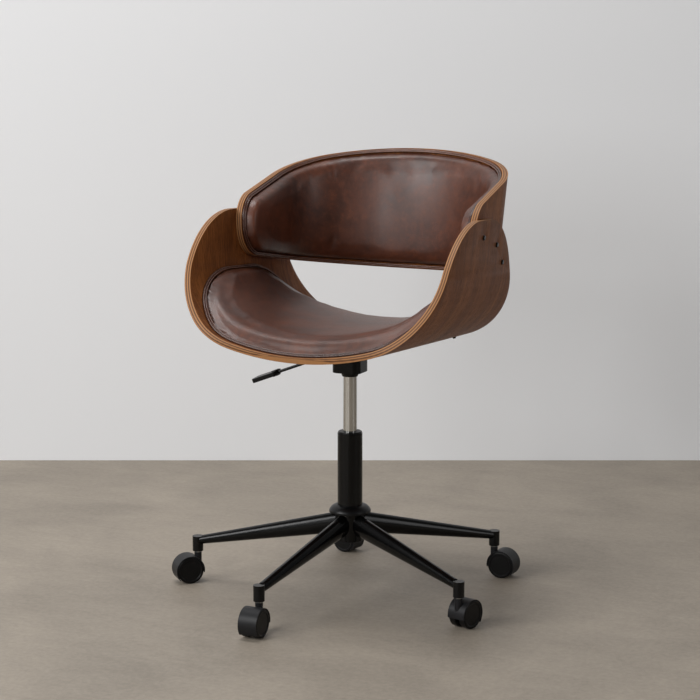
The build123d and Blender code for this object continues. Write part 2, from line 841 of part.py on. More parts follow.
column_tube = ring(column_bore, column_radius, column_bottom, column_top)
save(column_tube, "column_tube")
save(ring(rod_bore, column_bore - fit_clearance, foot_bottom, foot_top), "column_foot")
save(ring(rod_bore, race_radius, foot_top, foot_top + race_thickness), "lower_race")
save(ring(rod_radius + fit_clearance, race_radius, upper_race_bottom, shoulder_bottom), "upper_race")
save(ring(rod_radius + fit_clearance, clip_radius, clip_bottom, clip_top), "rod_clip")

with BuildPart() as bearing_balls:
    with Locations((0, 0, ball_middle)):
        with PolarLocations(ball_circle_radius, ball_count):
            Sphere(ball_radius)
save(bearing_balls.part, "bearing_balls")

piston_rod = turned(
    (
        (0, column_bottom),
        (rod_radius, column_bottom),
        (rod_radius, shoulder_bottom),
        (rod_shoulder_radius, shoulder_bottom),
        (rod_shoulder_radius, shoulder_bottom + rod_shoulder_height),
        (rod_radius, shoulder_bottom + rod_shoulder_height),
        (rod_radius, piston_top),
        (0, piston_top),
    )
)
save(piston_rod, "piston_rod")

bush_bore = cylinder_radius + running_clearance
with BuildPart() as guide_bush:
    with BuildSketch(Plane.XZ):
        with BuildLine():
            Polyline(
                (bush_bore, column_top - bush_depth),
                (column_bore - fit_clearance, column_top - bush_depth),
                (column_bore - fit_clearance, column_top),
                (bush_flange_radius, column_top),
                (bush_flange_radius, column_top + bush_flange_height),
                (bush_bore, column_top + bush_flange_height),
                close=True,
            )
        make_face()
    revolve(axis=Axis.Z)
    fillet(guide_bush.edges().group_by(Axis.Z)[-1].sort_by(SortBy.RADIUS)[-1], bush_flange_height / 2)
save(guide_bush.part, "guide_bush")

# Base: hub, collar, legs and leg sockets
hub_top = hub_bottom + hub_height
hub_bore = column_radius + fit_clearance
save(ring(hub_bore, hub_radius, hub_bottom, hub_top), "base_hub")

with BuildPart() as hub_collar:
    collar_low = (collar_foot_radius, hub_top + collar_lip)
    collar_high = (collar_top_radius, hub_top + collar_height)
    with BuildSketch(Plane.XZ):
        with BuildLine():
            collar_foot = (collar_foot_radius, hub_top)
            Polyline(collar_high, (hub_bore, collar_high[1]), (hub_bore, hub_top), collar_foot, collar_low)
            SagittaArc(collar_low, collar_high, -collar_bulge)
        make_face()
    revolve(axis=Axis.Z)
save(hub_collar.part, "hub_collar")

leg_angles = [base_turn - 90 + 360 * index / leg_count for index in range(leg_count)]
leg_socket_top = leg_socket_bottom + leg_socket_height
leg_tip_drop = hub_top - leg_socket_top + leg_tip_sink + leg_tip_height / 2
leg_sections = (
    (hub_radius - leg_root_sink, leg_root_width, leg_root_height, leg_root_drop),
    (leg_reach, leg_tip_width, leg_tip_height, leg_tip_drop),
)
socket_bore_top = leg_socket_top - leg_socket_roof


def polar(angle, reach, height):
    """A point at an angle, a distance from the column axis and a height."""
    turn = math.radians(angle)
    return Vector(reach * math.cos(turn), reach * math.sin(turn), height)


for index, angle in enumerate(leg_angles):
    with BuildPart() as base_leg:
        for reach, width, height, drop in leg_sections:
            origin = polar(angle, reach, hub_top - drop)
            with BuildSketch(Plane(origin=origin, x_dir=polar(angle + 90, 1, 0), z_dir=polar(angle, 1, 0))):
                Ellipse(width / 2, height / 2)
        loft()
        with Locations((0, 0, hub_bottom)):
            Cylinder(hub_radius, far, mode=Mode.SUBTRACT)
        with Locations(polar(angle, leg_reach, leg_socket_bottom)):
            Cylinder(leg_socket_radius, far, mode=Mode.SUBTRACT)
    save(base_leg.part, f"base_leg_{index + 1}")

leg_ends = [polar(angle, leg_reach, leg_socket_bottom) for angle in leg_angles]


def at_leg_ends(profile):
    """The same turned piece at each leg's end, from a half section over the socket's mouth."""
    with BuildPart() as pieces:
        for end in leg_ends:
            with BuildSketch(Plane(origin=end, x_dir=(1, 0, 0), z_dir=(0, -1, 0))):
                with BuildLine():
                    Polyline(profile, close=True)
                make_face()
            revolve(axis=Axis(end, (0, 0, 1)))
    return pieces.part


bore_depth = socket_bore_top - leg_socket_bottom
sleeve_outer = sleeve_radius - fit_clearance
stem_grip = bore_depth - leg_socket_roof
leg_sockets = at_leg_ends(
    (
        (sleeve_radius, 0),
        (leg_socket_radius, 0),
        (leg_socket_radius, leg_socket_height),
        (0, leg_socket_height),
        (0, bore_depth),
        (sleeve_radius, bore_depth),
    )
)
save(leg_sockets, "leg_sockets")
grip_sleeves = at_leg_ends(
    (
        (stem_radius + fit_clearance, 0),
        (sleeve_outer, 0),
        (sleeve_outer, bore_depth),
        (stem_radius + fit_clearance, bore_depth),
    )
)
save(grip_sleeves, "grip_sleeves")
caster_stems = at_leg_ends(
    (
        (0, -stem_collar_height - stem_pin_length),
        (stem_pin_radius, -stem_collar_height - stem_pin_length),
        (stem_pin_radius, -stem_collar_height),
        (stem_collar_radius, -stem_collar_height),
        (stem_collar_radius, 0),
        (stem_radius, 0),
        (stem_radius, stem_grip),
        (0, stem_grip),
    )
)
save(caster_stems, "caster_stems")

# Casters: each hood turns on its stem, and its two wheels turn on the axle
hood_inner = wheel_radius + hood_gap
hood_outer = hood_inner + hood_wall
wheel_inner_face = hood_web / 2 + wheel_side_gap
wheel_outer_face = wheel_inner_face + wheel_width
axle_half = wheel_outer_face - axle_cover
axle_bore = axle_radius + running_clearance
neck_top = leg_socket_bottom - stem_collar_height - neck_gap
neck_well = neck_top - stem_pin_length


def pie(radius):
    """The hood's side view: a disc sector about the axle."""
    start = Vector(radius, 0).rotate(Axis.Z, hood_front_angle)
    with BuildSketch(Plane.XY) as sector:
        with BuildLine():
            CenterArc((0, 0), radius, hood_front_angle, hood_rear_angle - hood_front_angle)
            end = Vector(radius, 0).rotate(Axis.Z, hood_rear_angle)
            Polyline(end, (0, 0), start)
        make_face()
    return sector.sketch


def caster_hood(side_view, stem):
    """Hood with its web, the eye for the axle and the neck for the stem."""
    with BuildPart() as hood:
        extrude(side_view * pie(hood_outer), amount=wheel_outer_face, both=True)
        with BuildSketch(Plane(origin=(stem.X, stem.Y, wheel_radius))):
            Circle(neck_radius)
        extrude(amount=neck_top - wheel_radius)
        with BuildSketch(side_view):
            Circle(hood_inner)
        extrude(amount=wheel_outer_face, both=True, mode=Mode.SUBTRACT)
        extrude(side_view * pie(hood_inner + hood_wall / 2), amount=hood_web / 2, both=True)
        with BuildSketch(side_view):
            Circle(hood_eye_radius)
        extrude(amount=hood_web / 2, both=True)
        with BuildSketch(side_view):
            Circle(axle_radius + fit_clearance)
        extrude(amount=hood_web, both=True, mode=Mode.SUBTRACT)
        with BuildSketch(Plane(origin=(stem.X, stem.Y, neck_well))):
            Circle(stem_pin_radius + running_clearance)
        extrude(amount=neck_top, mode=Mode.SUBTRACT)
    return hood.part


def caster_wheel(centre, outward):
    """One wheel on the side of the hood's web that faces outward."""
    rim = wheel_radius - wheel_rim
    dish = wheel_outer_face - wheel_dish_depth
    bore_end = axle_half + wheel_side_gap
    with BuildPart() as wheel:
        with BuildSketch(Plane(origin=centre, x_dir=outward, z_dir=outward.cross(Vector(0, 0, 1)))) as half:
            with BuildLine():
                Polyline(
                    (wheel_inner_face, axle_bore),
                    (wheel_inner_face, wheel_radius),
                    (wheel_outer_face, wheel_radius),
                    (wheel_outer_face, rim),
                    (dish, rim - wheel_dish_depth),
                    (dish, 0),
                    (bore_end, 0),
                    (bore_end, axle_bore),
                    close=True,
                )
            make_face()
            fillet(half.vertices().group_by(Axis.Y)[-1], wheel_edge_radius)
        revolve(axis=Axis(centre, outward))
    return wheel.part


for index, (end, turn) in enumerate(zip(leg_ends, caster_turns)):
    number = index + 1
    trail = polar(turn - 90, 1, 0)
    centre = Vector(end.X, end.Y, wheel_radius) + trail * caster_trail
    left = Vector(0, 0, 1).cross(trail)
    side_view = Plane(origin=centre, x_dir=trail, z_dir=trail.cross(Vector(0, 0, 1)))
    save(caster_hood(side_view, end), f"caster_hood_{number}")
    with BuildPart() as caster_axle:
        with BuildSketch(side_view):
            Circle(axle_radius)
        extrude(amount=axle_half, both=True)
    save(caster_axle.part, f"caster_axle_{number}")
    save(caster_wheel(centre, left), f"caster_wheel_left_{number}")
    save(caster_wheel(centre, -left), f"caster_wheel_right_{number}")
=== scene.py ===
import json
import math

import bmesh
import bpy
import numpy as np
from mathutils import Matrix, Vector


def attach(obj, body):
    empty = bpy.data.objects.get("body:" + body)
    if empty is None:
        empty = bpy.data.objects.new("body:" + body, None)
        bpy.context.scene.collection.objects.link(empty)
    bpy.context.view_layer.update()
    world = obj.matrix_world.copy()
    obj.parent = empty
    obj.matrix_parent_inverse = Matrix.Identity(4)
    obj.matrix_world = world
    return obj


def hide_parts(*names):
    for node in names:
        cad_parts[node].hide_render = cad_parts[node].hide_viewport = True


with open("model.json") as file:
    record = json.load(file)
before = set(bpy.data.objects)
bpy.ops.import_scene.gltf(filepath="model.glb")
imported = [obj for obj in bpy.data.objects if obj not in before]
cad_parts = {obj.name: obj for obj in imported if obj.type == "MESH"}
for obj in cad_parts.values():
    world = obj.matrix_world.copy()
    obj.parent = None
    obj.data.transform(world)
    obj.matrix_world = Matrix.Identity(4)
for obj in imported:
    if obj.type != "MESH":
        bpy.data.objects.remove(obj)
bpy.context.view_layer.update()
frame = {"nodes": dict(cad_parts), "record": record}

bl_info = {
    "name": "Plywood desk chair",
    "version": (1, 0, 0),
    "blender": (4, 5, 0),
    "location": "3D View > Sidebar > Chair",
    "description": "Dresses a swivel chair's frame in veneer, leather, chrome and black plastic",
    "category": "Object",
}

MERGE_GAP = 1e-5  # corners nearer than this are one corner
ARC_STEPS = 40  # points on each arc of a bent sheet
SIDE_LENGTH = 0.6  # straight side of a bent sheet, longer than any arm
SAWN_ANGLE = 40.0  # degrees, from which an edge of the plywood is rounded
CREASE_ANGLE = 32.0  # degrees, from which shading shows an edge
DEPTH_PROBE = 0.0004  # step along a face's normal that tells veneer from sawn edge
VENEER_SHARE = 0.55  # share of that step that goes into the sheet under veneer
COVER_FRAMES = 20  # steps of the cloth simulation
CALM_ROUNDS = 12  # rounds that part the cover's swell from its wrinkles
OUTLINE_ANGLE = 25.0  # degrees, from which an edge of a welt's solid is an outline
OUTLINE_POINTS = 20  # fewest points of a welt's outline
WELT_BASE = 0.002  # depth within which a corner belongs to a welt's base
WELT_SPACING = 0.003  # distance between two sections of a welt
WELT_PROBE = 0.001  # step that tells a welt's upper side
RIDGE_POINTS = 9  # points round the top of a welt's ridge
RIDGE_FOOT = 0.75  # height of a ridge's foot, as a share of its straight side
STAGE_REACH = 9.0  # half the width of the floor and the wall
WALL_HEIGHT = 6.0
AIR_STRENGTH = 0.06  # even light from all round
LAMP_TARGET = (0.0, 0.0, 0.55)
LAMPS = {  # metres right of the chair, behind it and up, width and height, watts
    "key": ((-4.2, -2.4, 3.0), (2.6, 2.2), 172),
    "window": ((-2.3, -4.4, 2.0), (0.9, 2.4), 60),
    "fill": ((3.8, -2.2, 1.8), (1.2, 2.4), 26),
    "top": ((-0.6, 0.1, 4.2), (1.3, 1.3), 61),
}


def srgb(red, green, blue):
    """A colour given as 0 to 255 screen values, as linear light."""
    return tuple(
        c / 12.92 if c <= 0.04045 else ((c + 0.055) / 1.055) ** 2.4
        for c in (red / 255, green / 255, blue / 255)
    )


def toned(colour, share):
    """A colour made darker or lighter."""
    return tuple(c * share for c in colour)


def length(name, description, default):
    """A length in metres for the sidebar."""
    return bpy.props.FloatProperty(
        name=name, description=description, default=default, unit="LENGTH", precision=5
    )


def angle(name, description, degrees):
    """An angle for the sidebar."""
    return bpy.props.FloatProperty(
        name=name, description=description, default=math.radians(degrees), unit="ROTATION"
    )


def amount(name, description, default):
    """A plain number for the sidebar."""
    return bpy.props.FloatProperty(name=name, description=description, default=default)


def tint(name, description, colour):
    """A colour for the sidebar."""
    return bpy.props.FloatVectorProperty(
        name=name, description=description, default=colour, subtype="COLOR", size=3, min=0, max=1
    )


class PlywoodSettings(bpy.types.PropertyGroup):
    """Sizes and colours of the two bent plywood shells."""

    shell_height: length("Shell height", "Height of the seat shell's frame over the floor", 0.495)
    shell_tilt: angle("Shell tilt", "Backward tilt of the seat shell", 3.7)
    thickness: length("Thickness", "Thickness of the plywood", 0.012)
    seat_half_width: length("Seat half width", "Half the seat's width at its base", 0.2528)
    seat_lean: angle("Arm lean", "Outward lean of the arms", 3.9)
    seat_radius: length("Seat radius", "Radius of the seat's bottom", 0.548)
    seat_corner: length("Seat corner", "Radius of the bend from seat to arm", 0.168)
    toe_in: angle("Toe in", "Angle at which the arms close towards the rear", 2.7)
    back_reach: length("Back reach", "Depth of the back's outside at its lower edge", 0.321)
    back_height: length("Back height", "Height of the back's lower edge at the rear", 0.145)
    back_rise: length("Back rise", "Height of the back from its lower to its upper edge", 0.24)
    back_recline: angle("Back recline", "Backward lean of the back", 3.7)
    back_radius: length("Back radius", "Radius of the back's rear", 0.344)
    back_corner: length("Back corner", "Radius of the bend from rear to side", 0.168)
    back_gap: length("Back gap", "Gap between the back and the arms", 0.0003)
    edge_round: length("Edge rounding", "Rounding of the plywood's edges", 0.0009)
    ply_count: bpy.props.IntProperty(name="Plies", description="Layers in the plywood", default=5)
    veneer_light: tint("Light veneer", "Pale streaks of the face veneer", srgb(156, 96, 49))
    veneer_dark: tint("Dark veneer", "Dark streaks of the face veneer", srgb(100, 56, 27))
    edge_light: tint("Light ply", "Plies cut along the grain", srgb(172, 122, 77))
    edge_dark: tint("Dark ply", "Plies cut across the grain", srgb(92, 58, 34))
    glue: tint("Glue line", "Line between two plies", srgb(84, 53, 33))


class LeatherSettings(bpy.types.PropertyGroup):
    """Sizes and colours of the leather pads and their welts."""

    voxel: length("Mesh size", "Cell size of the pads' even mesh", 0.0055)
    draw_in: length("Draw in", "How far the cover starts inside the pad's outline", 0.002)
    draw_depth: length("Draw depth", "Height over which the cover is drawn in", 0.014)
    swell: length("Swell", "How far the cover may rise from there", 0.0035)
    wrinkle: amount("Wrinkle", "Share of the cover's fine wrinkles that is kept", 0.14)
    pressure: amount("Pressure", "Stuffing pressure of the pads", 4.0)
    base_depth: length("Base depth", "Depth of the part of a pad that is glued to its shell", 0.003)
    welt_ridge: length("Welt ridge", "Half the width of one of the welt's two ridges", 0.0016)
    welt_height: length("Welt height", "Height of the welt's outer ridge", 0.0042)
    welt_step: length("Welt step", "How far the inner ridge stands above the outer one", 0.0028)
    grain: amount("Grain", "Leather cells in a metre", 620.0)
    leather: tint("Leather", "Main colour of the leather", srgb(99, 53, 33))
    leather_dark: tint("Dark leather", "Shaded patches of the leather", srgb(58, 29, 18))
    # Colour of the painted highlight on the tops of the welts' ridges.
    leather_ridge_highlight: tint("Worn leather", "Ridges of the welts, polished by use", srgb(168, 128, 112))
    leather_warm: tint("Warm leather", "Rubbed patches of the leather", srgb(128, 66, 36))


class HardwareSettings(bpy.types.PropertyGroup):
    """Colours of the metal and plastic pieces."""

    edge_round: length("Edge rounding", "Rounding that catches the light on hard edges", 0.0006)
    coat: tint("Powder coat", "Black coat of the base and the mechanism", srgb(7, 7, 7))
    plastic: tint("Black plastic", "Leg sockets, lever paddle and bushes", srgb(9, 9, 10))
    hood: tint("Hood", "Textured hoods of the casters", srgb(28, 28, 30))
    wheel: tint("Wheel plastic", "Caster wheels", srgb(8, 8, 9))
    chrome: tint("Chrome", "Gas cylinder and caster stems", srgb(205, 204, 201))
    steel: tint("Steel", "Plain steel pieces", srgb(170, 170, 172))
    brass: tint("Brass", "Threaded inserts", srgb(190, 156, 92))


class StudioSettings(bpy.types.PropertyGroup):
    """Camera, floor, wall and surround."""

    camera_distance: length("Camera distance", "Level distance from the column to the camera", 4.0052)
    camera_height: length("Camera height", "Height of the camera over the floor", 1.212)
    camera_turn: angle("Camera turn", "Turn of the camera round the chair from its front", 24.29)
    camera_pitch: angle("Camera pitch", "Downward pitch of the camera", 10.114)
    focal: amount("Focal length", "Focal length in millimetres for a 36 mm sensor", 105.39)
    wall_distance: length("Wall distance", "Level distance from the column to the wall", 1.165)
    floor: tint("Floor", "Smooth plastered floor", srgb(148, 138, 125))
    surround: tint("Surround", "Grey room beyond the wall", srgb(104, 104, 104))
    wall: tint("Wall", "Pale wall", srgb(238, 239, 241))


def linked(mesh, name):
    """A new object for a mesh, in the scene."""
    made = bpy.data.objects.new(name, mesh)
    bpy.context.scene.collection.objects.link(made)
    return made


def settled(piece, body, slot, *nodes):
    """Sets a finished piece on its body, in place of its CAD nodes; its slot is not used."""
    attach(piece, body)
    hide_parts(*nodes)


def nodes_of(slot):
    """The CAD nodes that the record gives to a material slot."""
    return [s["node"] for s in frame["record"]["subparts"] if s["material_slot"] == slot]


def painted(names, finish):
    """Gives CAD nodes one finish."""
    for name in names:
        mesh = frame["nodes"][name].data
        mesh.materials.clear()
        mesh.materials.append(finish.material)


class Signal:
    """A socket of a finish that can be added, multiplied and so on."""

    def __init__(self, finish, socket):
        self.finish = finish
        self.socket = socket

    def maths(self, operation, first, second):
        """Works out two values or signals with a Math node."""
        return self.finish.node("ShaderNodeMath", {"operation": operation}, {0: first, 1: second})

    def __add__(self, other):
        return self.maths("ADD", self, other)

    __radd__ = __add__

    def __sub__(self, other):
        return self.maths("SUBTRACT", self, other)

    def __rsub__(self, other):
        return self.maths("SUBTRACT", other, self)

    def __mul__(self, other):
        return self.maths("MULTIPLY", self, other)

    __rmul__ = __mul__

    def __truediv__(self, other):
        return self.maths("DIVIDE", self, other)

    def __mod__(self, other):
        return self.maths("FLOORED_MODULO", self, other)

    def __lt__(self, other):
        return self.maths("LESS_THAN", self, other)

    def __gt__(self, other):
        return self.maths("GREATER_THAN", self, other)


class Finish:
    """A material, or the world, that is put together from nodes."""

    def __init__(self, name, owner=None):
        self.material = owner or bpy.data.materials.new(name)
        self.material.use_nodes = True
        self.tree = self.material.node_tree
        self.tree.nodes.clear()

    def node(self, kind, settings=None, sockets=None, output=0):
        """Adds a node, sets it up, fills its sockets and returns one of its outputs."""
        node = self.tree.nodes.new(kind)
        for key, value in (settings or {}).items():
            setattr(node, key, value)
        for key, value in (sockets or {}).items():
            if isinstance(value, Signal):
                self.tree.links.new(value.socket, node.inputs[key])
            elif isinstance(value, tuple) and node.inputs[key].type == "RGBA":
                node.inputs[key].default_value = (*value[:3], 1.0)
            else:
                node.inputs[key].default_value = value
        return Signal(self, node.outputs[output]) if node.outputs else None

    def place(self):
        """The point's place on its own piece."""
        return self.node("ShaderNodeTexCoord", output="Object")

    def sheet(self):
        """Length round the bend, place along the sheet and depth in the ply."""
        return self.node("ShaderNodeAttribute", {"attribute_name": "sheet"}, output="Vector")

    def part(self, vector, axis):
        """One of a vector's three parts."""
        return self.node("ShaderNodeSeparateXYZ", None, {0: vector}, axis)

    def scaled(self, vector, x, y, z):
        """A place stretched along each axis."""
        settings = {"operation": "MULTIPLY"}
        return self.node("ShaderNodeVectorMath", settings, {0: vector, 1: (x, y, z)})

    def noise(self, vector, scale=1.0, detail=2.0, rough=0.5, distortion=0.0):
        """A cloudy pattern from 0 to 1."""
        sockets = {"Vector": vector, "Scale": scale, "Detail": detail}
        sockets |= {"Roughness": rough, "Distortion": distortion}
        return self.node("ShaderNodeTexNoise", None, sockets)

    def spread(self, value, low, high):
        """Stretches a range of values to 0 to 1, held at its ends."""
        return self.node("ShaderNodeMapRange", {"clamp": True}, {0: value, 1: low, 2: high})

    def mix(self, factor, first, second):
        """Goes from one colour to another."""
        sockets = {0: factor, 6: first, 7: second}
        return self.node("ShaderNodeMix", {"data_type": "RGBA"}, sockets, 2)

    def bump(self, height, strength, distance, normal=None):
        """Normals of a finely uneven surface."""
        sockets = {"Strength": strength, "Distance": distance, "Height": height}
        if normal:
            sockets["Normal"] = normal
        return self.node("ShaderNodeBump", None, sockets)

    def rounded(self, radius):
        """Normals that round off the hard edges."""
        return self.node("ShaderNodeBevel", {"samples": 4}, {"Radius": radius})

    def surface(self, sockets):
        """Ends a material with its shader."""
        shader = self.node("ShaderNodeBsdfPrincipled", None, sockets)
        self.node("ShaderNodeOutputMaterial", None, {"Surface": shader})
        return self


def veneer_finish(plywood):
    """Lacquered walnut veneer, its grain running round the bend."""
    finish = Finish("walnut_veneer")
    sheet = finish.sheet()
    figure = finish.noise(
        finish.scaled(sheet, 2.2, 16.0, 900.0), detail=3.0, rough=0.55, distortion=0.6
    )
    fibre = finish.noise(finish.scaled(sheet, 14.0, 620.0, 900.0), detail=3.0, rough=0.6)
    pores = finish.noise(finish.scaled(sheet, 55.0, 1700.0, 900.0), detail=1.0)
    pore_mask = finish.spread(pores, 0.53, 0.63)
    tone = finish.spread(figure * 0.5 + fibre * 0.5, 0.39, 0.61)
    wood = finish.mix(tone, tuple(plywood.veneer_dark), tuple(plywood.veneer_light))
    wood = finish.mix(pore_mask * 0.7, wood, toned(plywood.veneer_dark, 0.4))
    return finish.surface(
        {
            "Base Color": wood,
            "Roughness": 0.4 + fibre * 0.1 + pore_mask * 0.15,
            "Normal": finish.bump(fibre * 0.4 - pore_mask, strength=0.25, distance=0.00012),
            "Specular IOR Level": 0.1,
        }
    )


def ply_edge_finish(plywood):
    """Sawn edge of the plywood, with its plies and glue lines."""
    finish = Finish("plywood_edge")
    sheet = finish.sheet()
    layer = finish.part(sheet, 2) / (plywood.thickness / plywood.ply_count)
    across = (layer % 2.0 > 1.1) * (layer % 2.0 < 1.9)
    glue = (layer % 1.0 < 0.08) + (layer % 1.0 > 0.92)
    fleck = finish.noise(finish.scaled(sheet, 260.0, 260.0, 1900.0), rough=0.6)
    drift = finish.noise(finish.scaled(sheet, 24.0, 24.0, 400.0))
    cut = finish.spread(across * 0.8 + fleck * 0.22 + drift * 0.2, 0.15, 0.95)
    wood = finish.mix(cut, tuple(plywood.edge_light), tuple(plywood.edge_dark))
    wood = finish.mix(glue * 0.5, wood, tuple(plywood.glue))
    return finish.surface(
        {
            "Base Color": wood,
            "Roughness": 0.46 + fleck * 0.16,
            "Normal": finish.bump(fleck - glue, strength=0.2, distance=0.00015),
            "Specular IOR Level": 0.3,
        }
    )


def leather_finish(leather, name, grain, rough, painted_ridge_shading=False):
    """Waxed leather with fine cells, rubbed patches and a soft gloss; for the welts also a painted
    highlight on the ridge tops and painted shade in the grooves.
    """
    finish = Finish(name)
    place = finish.place()
    cloud = finish.noise(place, scale=9.0, detail=4.0, rough=0.6, distortion=0.4)
    mottle = finish.noise(place, scale=60.0, detail=4.0, rough=0.65)
    cells = finish.node(
        "ShaderNodeTexVoronoi", {"feature": "DISTANCE_TO_EDGE"}, {"Vector": place, "Scale": grain}
    )
    crease = finish.noise(
        finish.scaled(place, 1.0, 1.0, 0.35), scale=170.0, detail=3.0, rough=0.6, distortion=1.2
    )
    crack = finish.spread(cells, 0.0, 0.16)
    shade = finish.spread(cloud * 0.65 + mottle * 0.35, 0.36, 0.64)
    skin = finish.mix(shade, tuple(leather.leather_dark), tuple(leather.leather))
    rubbed = finish.spread(mottle * 0.6 + crease * 0.4, 0.52, 0.72)
    skin = finish.mix(rubbed * 0.4, skin, tuple(leather.leather_warm))
    skin = finish.mix((1.0 - crack) * 0.35, skin, tuple(leather.leather_dark))
    # Painted light on the welts: a painted highlight on the ridge tops and painted shade in the
    # grooves and at the ridges' feet.
    if painted_ridge_shading:
        painted_ridge_light = finish.node("ShaderNodeAttribute", {"attribute_name": "painted_ridge_light"}, output="Fac")
        # Painted shade where the welt's section lies low: the ridge feet, the groove between the
        # ridges and the welt's rims.
        painted_groove_shade = finish.spread(painted_ridge_light, 0.9, 0.2) * 0.6
        skin = finish.mix(painted_groove_shade, skin, toned(leather.leather_dark, 0.5))
        # Painted highlight on the ridge tops, where the ridge share is high.
        painted_ridge_highlight = finish.spread(painted_ridge_light, 0.6, 1.0) * (0.35 + mottle * 0.35)
        skin = finish.mix(painted_ridge_highlight, skin, tuple(leather.leather_ridge_highlight))
    relief = crack * 0.5 + crease * 0.9 + mottle * 0.4
    return finish.surface(
        {
            "Base Color": skin,
            "Roughness": rough + mottle * 0.14 + (1.0 - crack) * 0.1,
            "Normal": finish.bump(relief, strength=0.3, distance=0.0005),
            "Specular IOR Level": 0.5,
            "Coat Weight": 0.1,
            "Coat Roughness": 0.22,
        }
    )


def black_finish(name, colour, rough, grain, depth, edge):
    """Black coat or moulding with a fine surface."""
    finish = Finish(name)
    place = finish.place()
    skin = finish.noise(place, scale=grain)
    dust = finish.noise(place, scale=35.0, detail=3.0, rough=0.6)
    dusty = finish.spread(dust, 0.35, 0.65)
    return finish.surface(
        {
            "Base Color": finish.mix(dusty, toned(colour, 0.75), tuple(colour)),
            "Roughness": rough + dust * 0.1,
            "Specular IOR Level": 0.24,
            "Normal": finish.bump(skin, strength=0.2, distance=depth, normal=finish.rounded(edge)),
        }
    )


def metal_finish(name, colour, rough, edge):
    """Bare or plated metal, turned on a lathe."""
    finish = Finish(name)
    place = finish.place()
    lines = finish.noise(finish.scaled(place, 40.0, 40.0, 2600.0))
    return finish.surface(
        {
            "Base Color": finish.mix(lines * 0.2, tuple(colour), toned(colour, 0.8)),
            "Metallic": 1.0,
            "Roughness": rough + lines * 0.08,
            "Normal": finish.bump(
                lines, strength=0.05, distance=0.00005, normal=finish.rounded(edge)
            ),
        }
    )


class BentSheet:
    """A bent sheet seen along its bend: a wide arc, two tighter corners and two straight sides."""

    def __init__(self, half, lean, radius, corner):
        slope = math.tan(lean)
        stretch = math.hypot(1.0, slope)
        reach = radius - (half - corner * stretch) * slope
        inner = half - corner * stretch
        root = math.sqrt(reach**2 - stretch**2 * (inner**2 + radius**2 - (radius - corner) ** 2))
        up = (reach - root) / stretch**2
        centre = np.array((inner + slope * up, up))
        start = math.atan2(centre[0], radius - centre[1])
        stop = math.pi / 2 - lean
        turns = np.linspace(0, start, ARC_STEPS)
        wide = [(radius * math.sin(a), radius * (1 - math.cos(a))) for a in turns]
        turns = np.linspace(start, stop, ARC_STEPS)[1:]
        bend = [centre + corner * np.array((math.sin(a), -math.cos(a))) for a in turns]
        side = bend[-1] + SIDE_LENGTH * np.array((math.sin(lean), math.cos(lean)))
        self.points = np.array([*wide, *bend, side])
        self.steps = np.diff(self.points, axis=0)
        self.lengths = np.linalg.norm(self.steps, axis=1)
        self.starts = np.concatenate([[0.0], np.cumsum(self.lengths)])[:-1]

    def measure(self, across, up):
        """Length round the bend and depth inside the sheet's outer face, for points of the profile."""
        places = np.stack([np.abs(across), up], axis=1)
        best = np.full(len(places), np.inf)
        length_round = np.zeros(len(places))
        depth = np.zeros(len(places))
        for start, step, size, run in zip(self.points[:-1], self.steps, self.lengths, self.starts):
            way = step / size
            offset = places - start
            along = np.clip(offset @ way, 0, size)
            gap = offset - along[:, None] * way
            away = np.linalg.norm(gap, axis=1)
            nearer = away < best
            best = np.where(nearer, away, best)
            length_round = np.where(nearer, run + along, length_round)
            depth = np.where(nearer, offset @ np.array((-way[1], way[0])), depth)
        return np.sign(across) * length_round, depth


def in_shell_frame(points, plywood):
    """Points of the chair in the seat shell's tilted frame."""
    sine, cosine = math.sin(plywood.shell_tilt), math.cos(plywood.shell_tilt)
    y, z = points[:, 1], points[:, 2] - plywood.shell_height
    return points[:, 0], y * cosine - z * sine, y * sine + z * cosine


def seat_sheet(points, plywood):
    """Length round the U, place along the seat and depth in the seat's plywood."""
    half = plywood.seat_half_width
    sheet = BentSheet(half, plywood.seat_lean, plywood.seat_radius, plywood.seat_corner)
    x, y, z = in_shell_frame(points, plywood)
    scale = 1 - y * math.tan(plywood.toe_in) / half
    run, depth = sheet.measure(x / scale, z / scale)
    return np.stack([run, y, depth * scale], axis=1)


def back_sheet(points, plywood):
    """Height, length round the C and depth in the back's plywood."""
    x, y, z = in_shell_frame(points, plywood)
    lean = math.tan(plywood.seat_lean)
    toe = math.tan(plywood.toe_in)
    recline = math.tan(plywood.back_recline)
    rise = z - plywood.back_height
    share = rise / plywood.back_rise
    arm = plywood.thickness * math.hypot(1.0, lean) + plywood.back_gap
    measures = []
    for level in (0.0, plywood.back_rise):
        rear = plywood.back_reach + level * recline
        half = plywood.seat_half_width - arm + lean * (plywood.back_height + level) - toe * rear
        sheet = BentSheet(half, plywood.toe_in, plywood.back_radius, plywood.back_corner)
        measures.append(sheet.measure(x, plywood.back_reach + rise * recline - y))
    low, high = measures
    run = low[0] * (1 - share) + high[0] * share
    depth = low[1] * (1 - share) + high[1] * share
    return np.stack([z, run, depth], axis=1)


def corner_points(mesh):
    """The vertices of a mesh as rows."""
    places = np.empty(len(mesh.vertices) * 3)
    mesh.vertices.foreach_get("co", places)
    return places.reshape(-1, 3)


def welded(mesh):
    """A working copy of a mesh with its corners joined."""
    work = bmesh.new()
    work.from_mesh(mesh)
    bmesh.ops.remove_doubles(work, verts=work.verts, dist=MERGE_GAP)
    return work


def hard_edges(work, degrees):
    """Edges where two faces meet at more than an angle."""
    limit = math.radians(degrees)
    return [e for e in work.edges if len(e.link_faces) == 2 and e.calc_face_angle() > limit]


